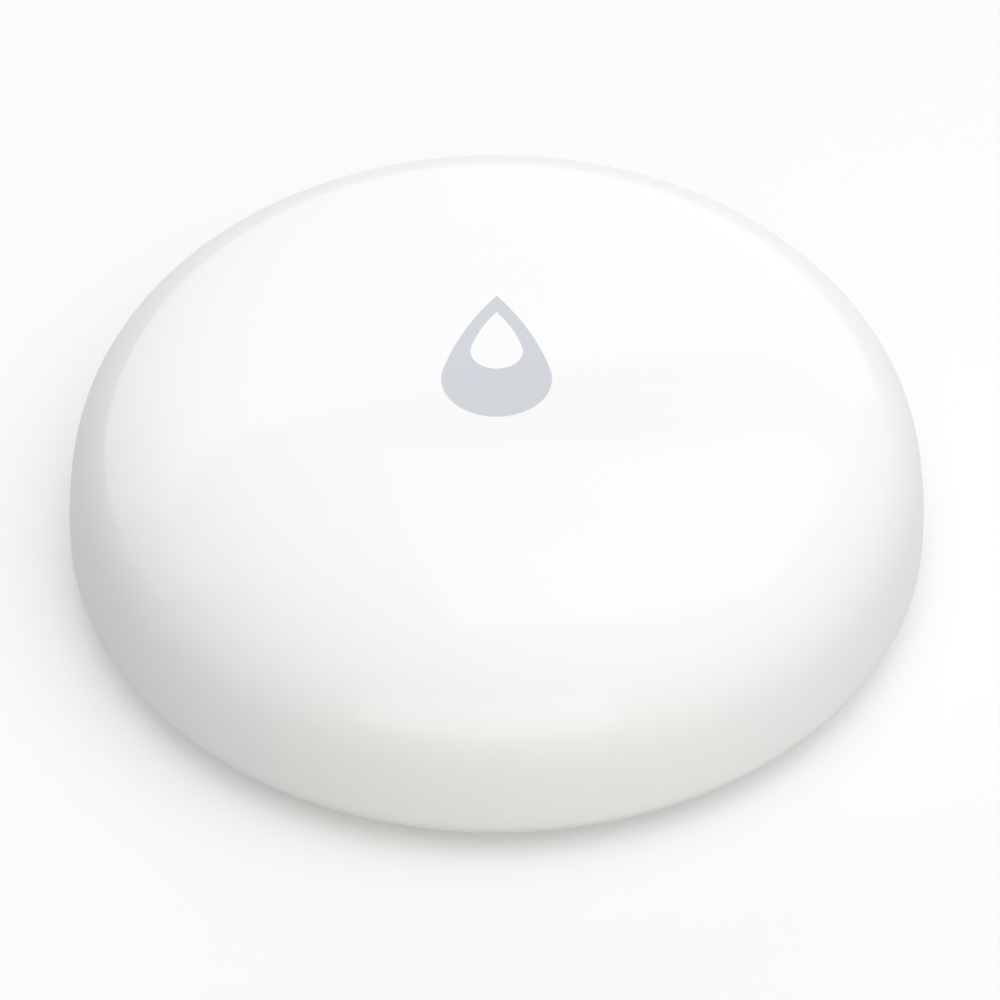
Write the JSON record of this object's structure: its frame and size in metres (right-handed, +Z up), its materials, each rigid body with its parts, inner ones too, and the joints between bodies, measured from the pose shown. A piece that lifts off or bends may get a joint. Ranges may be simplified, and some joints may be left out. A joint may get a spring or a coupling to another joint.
{
  "type": "water leak sensor",
  "caption": "Round white domed leak sensor: pressable cover with a grey drop mark, over a sealed base with probe screws, soft feet and a coin-turn battery door.",
  "frame": {"origin": "on the floor, under the centre of the crown", "axes": "+Z up through the crown, -Y towards the viewer, so the drop's tip points to +Y"},
  "size_m": [0.05, 0.05, 0.015],
  "materials": {
    "cover_white": "high gloss moulded white",
    "mark_grey": "printed light grey under the gloss",
    "soft_pad": "matt elastomer",
    "base_white": "fine spark-eroded texture",
    "foot_silicone": "translucent matt silicone",
    "seal_silicone": "matt silicone",
    "foam": "closed-cell foam",
    "cell_steel": "bright plated steel",
    "contact_metal": "spring strip",
    "board": "solder mask over glass laminate",
    "chip_black": "moulded epoxy",
    "tin_can": "tinned",
    "led_lens": "clear resin",
    "tantalum": "moulded epoxy",
    "ceramic": "fired ceramic",
    "copper_track": "gold-flashed copper",
    "plunger_white": "moulded nylon",
    "probe_steel": "turned stainless steel",
    "probe_rubber": "matt rubber",
    "brass": "turned brass",
    "screw_steel": "zinc plated"
  },
  "bodies": {
    "base": {"base_housing": "base_white", "base_feet": "foot_silicone", "cover_seal": "seal_silicone", "coin_cell": "cell_steel", "cell_positive_contact": "contact_metal", "cell_negative_contact": "contact_metal", "circuit_board": "board", "radio_chip": "chip_black", "crystal": "tin_can", "status_led": "led_lens", "bulk_capacitor": "tantalum", "chip_capacitors": "ceramic", "chip_resistors": "chip_black", "antenna_trace": "copper_track", "switch_body": "chip_black", "switch_frame": "contact_metal", "switch_dome": "contact_metal", "switch_legs": "tin_can", "probe_screws": "probe_steel", "probe_seals": "probe_rubber", "probe_standoffs": "brass", "board_screws": "screw_steel"},
    "cover": {"cover_shell": "cover_white", "drop_mark": "mark_grey", "press_pad": "soft_pad"},
    "plunger": {"switch_plunger": "plunger_white"},
    "door": {"battery_door": "base_white", "door_seal": "seal_silicone", "cell_pad": "foam"}
  },
  "joints": [
    {"name": "cover_press", "type": "slide", "parent": "base", "child": "cover", "axis": [0, 0, -1], "range_m": [0, 0.0003], "stiffness_N_per_m": 4000, "springref_m": -0.0001},
    {"name": "plunger_press", "type": "slide", "parent": "base", "child": "plunger", "axis": [0, 0, -1], "range_m": [0, 0.0003], "deforming": ["switch_dome"]},
    {"name": "door_turn", "type": "hinge", "parent": "base", "child": "door", "pos_m": [0, 0, 0.0017], "axis": [0, 0, -1], "range_deg": [0, 40]}
  ],
  "couplings": [
    {"joint": "plunger_press", "follows": "cover_press", "ratio": 1}
  ]
}
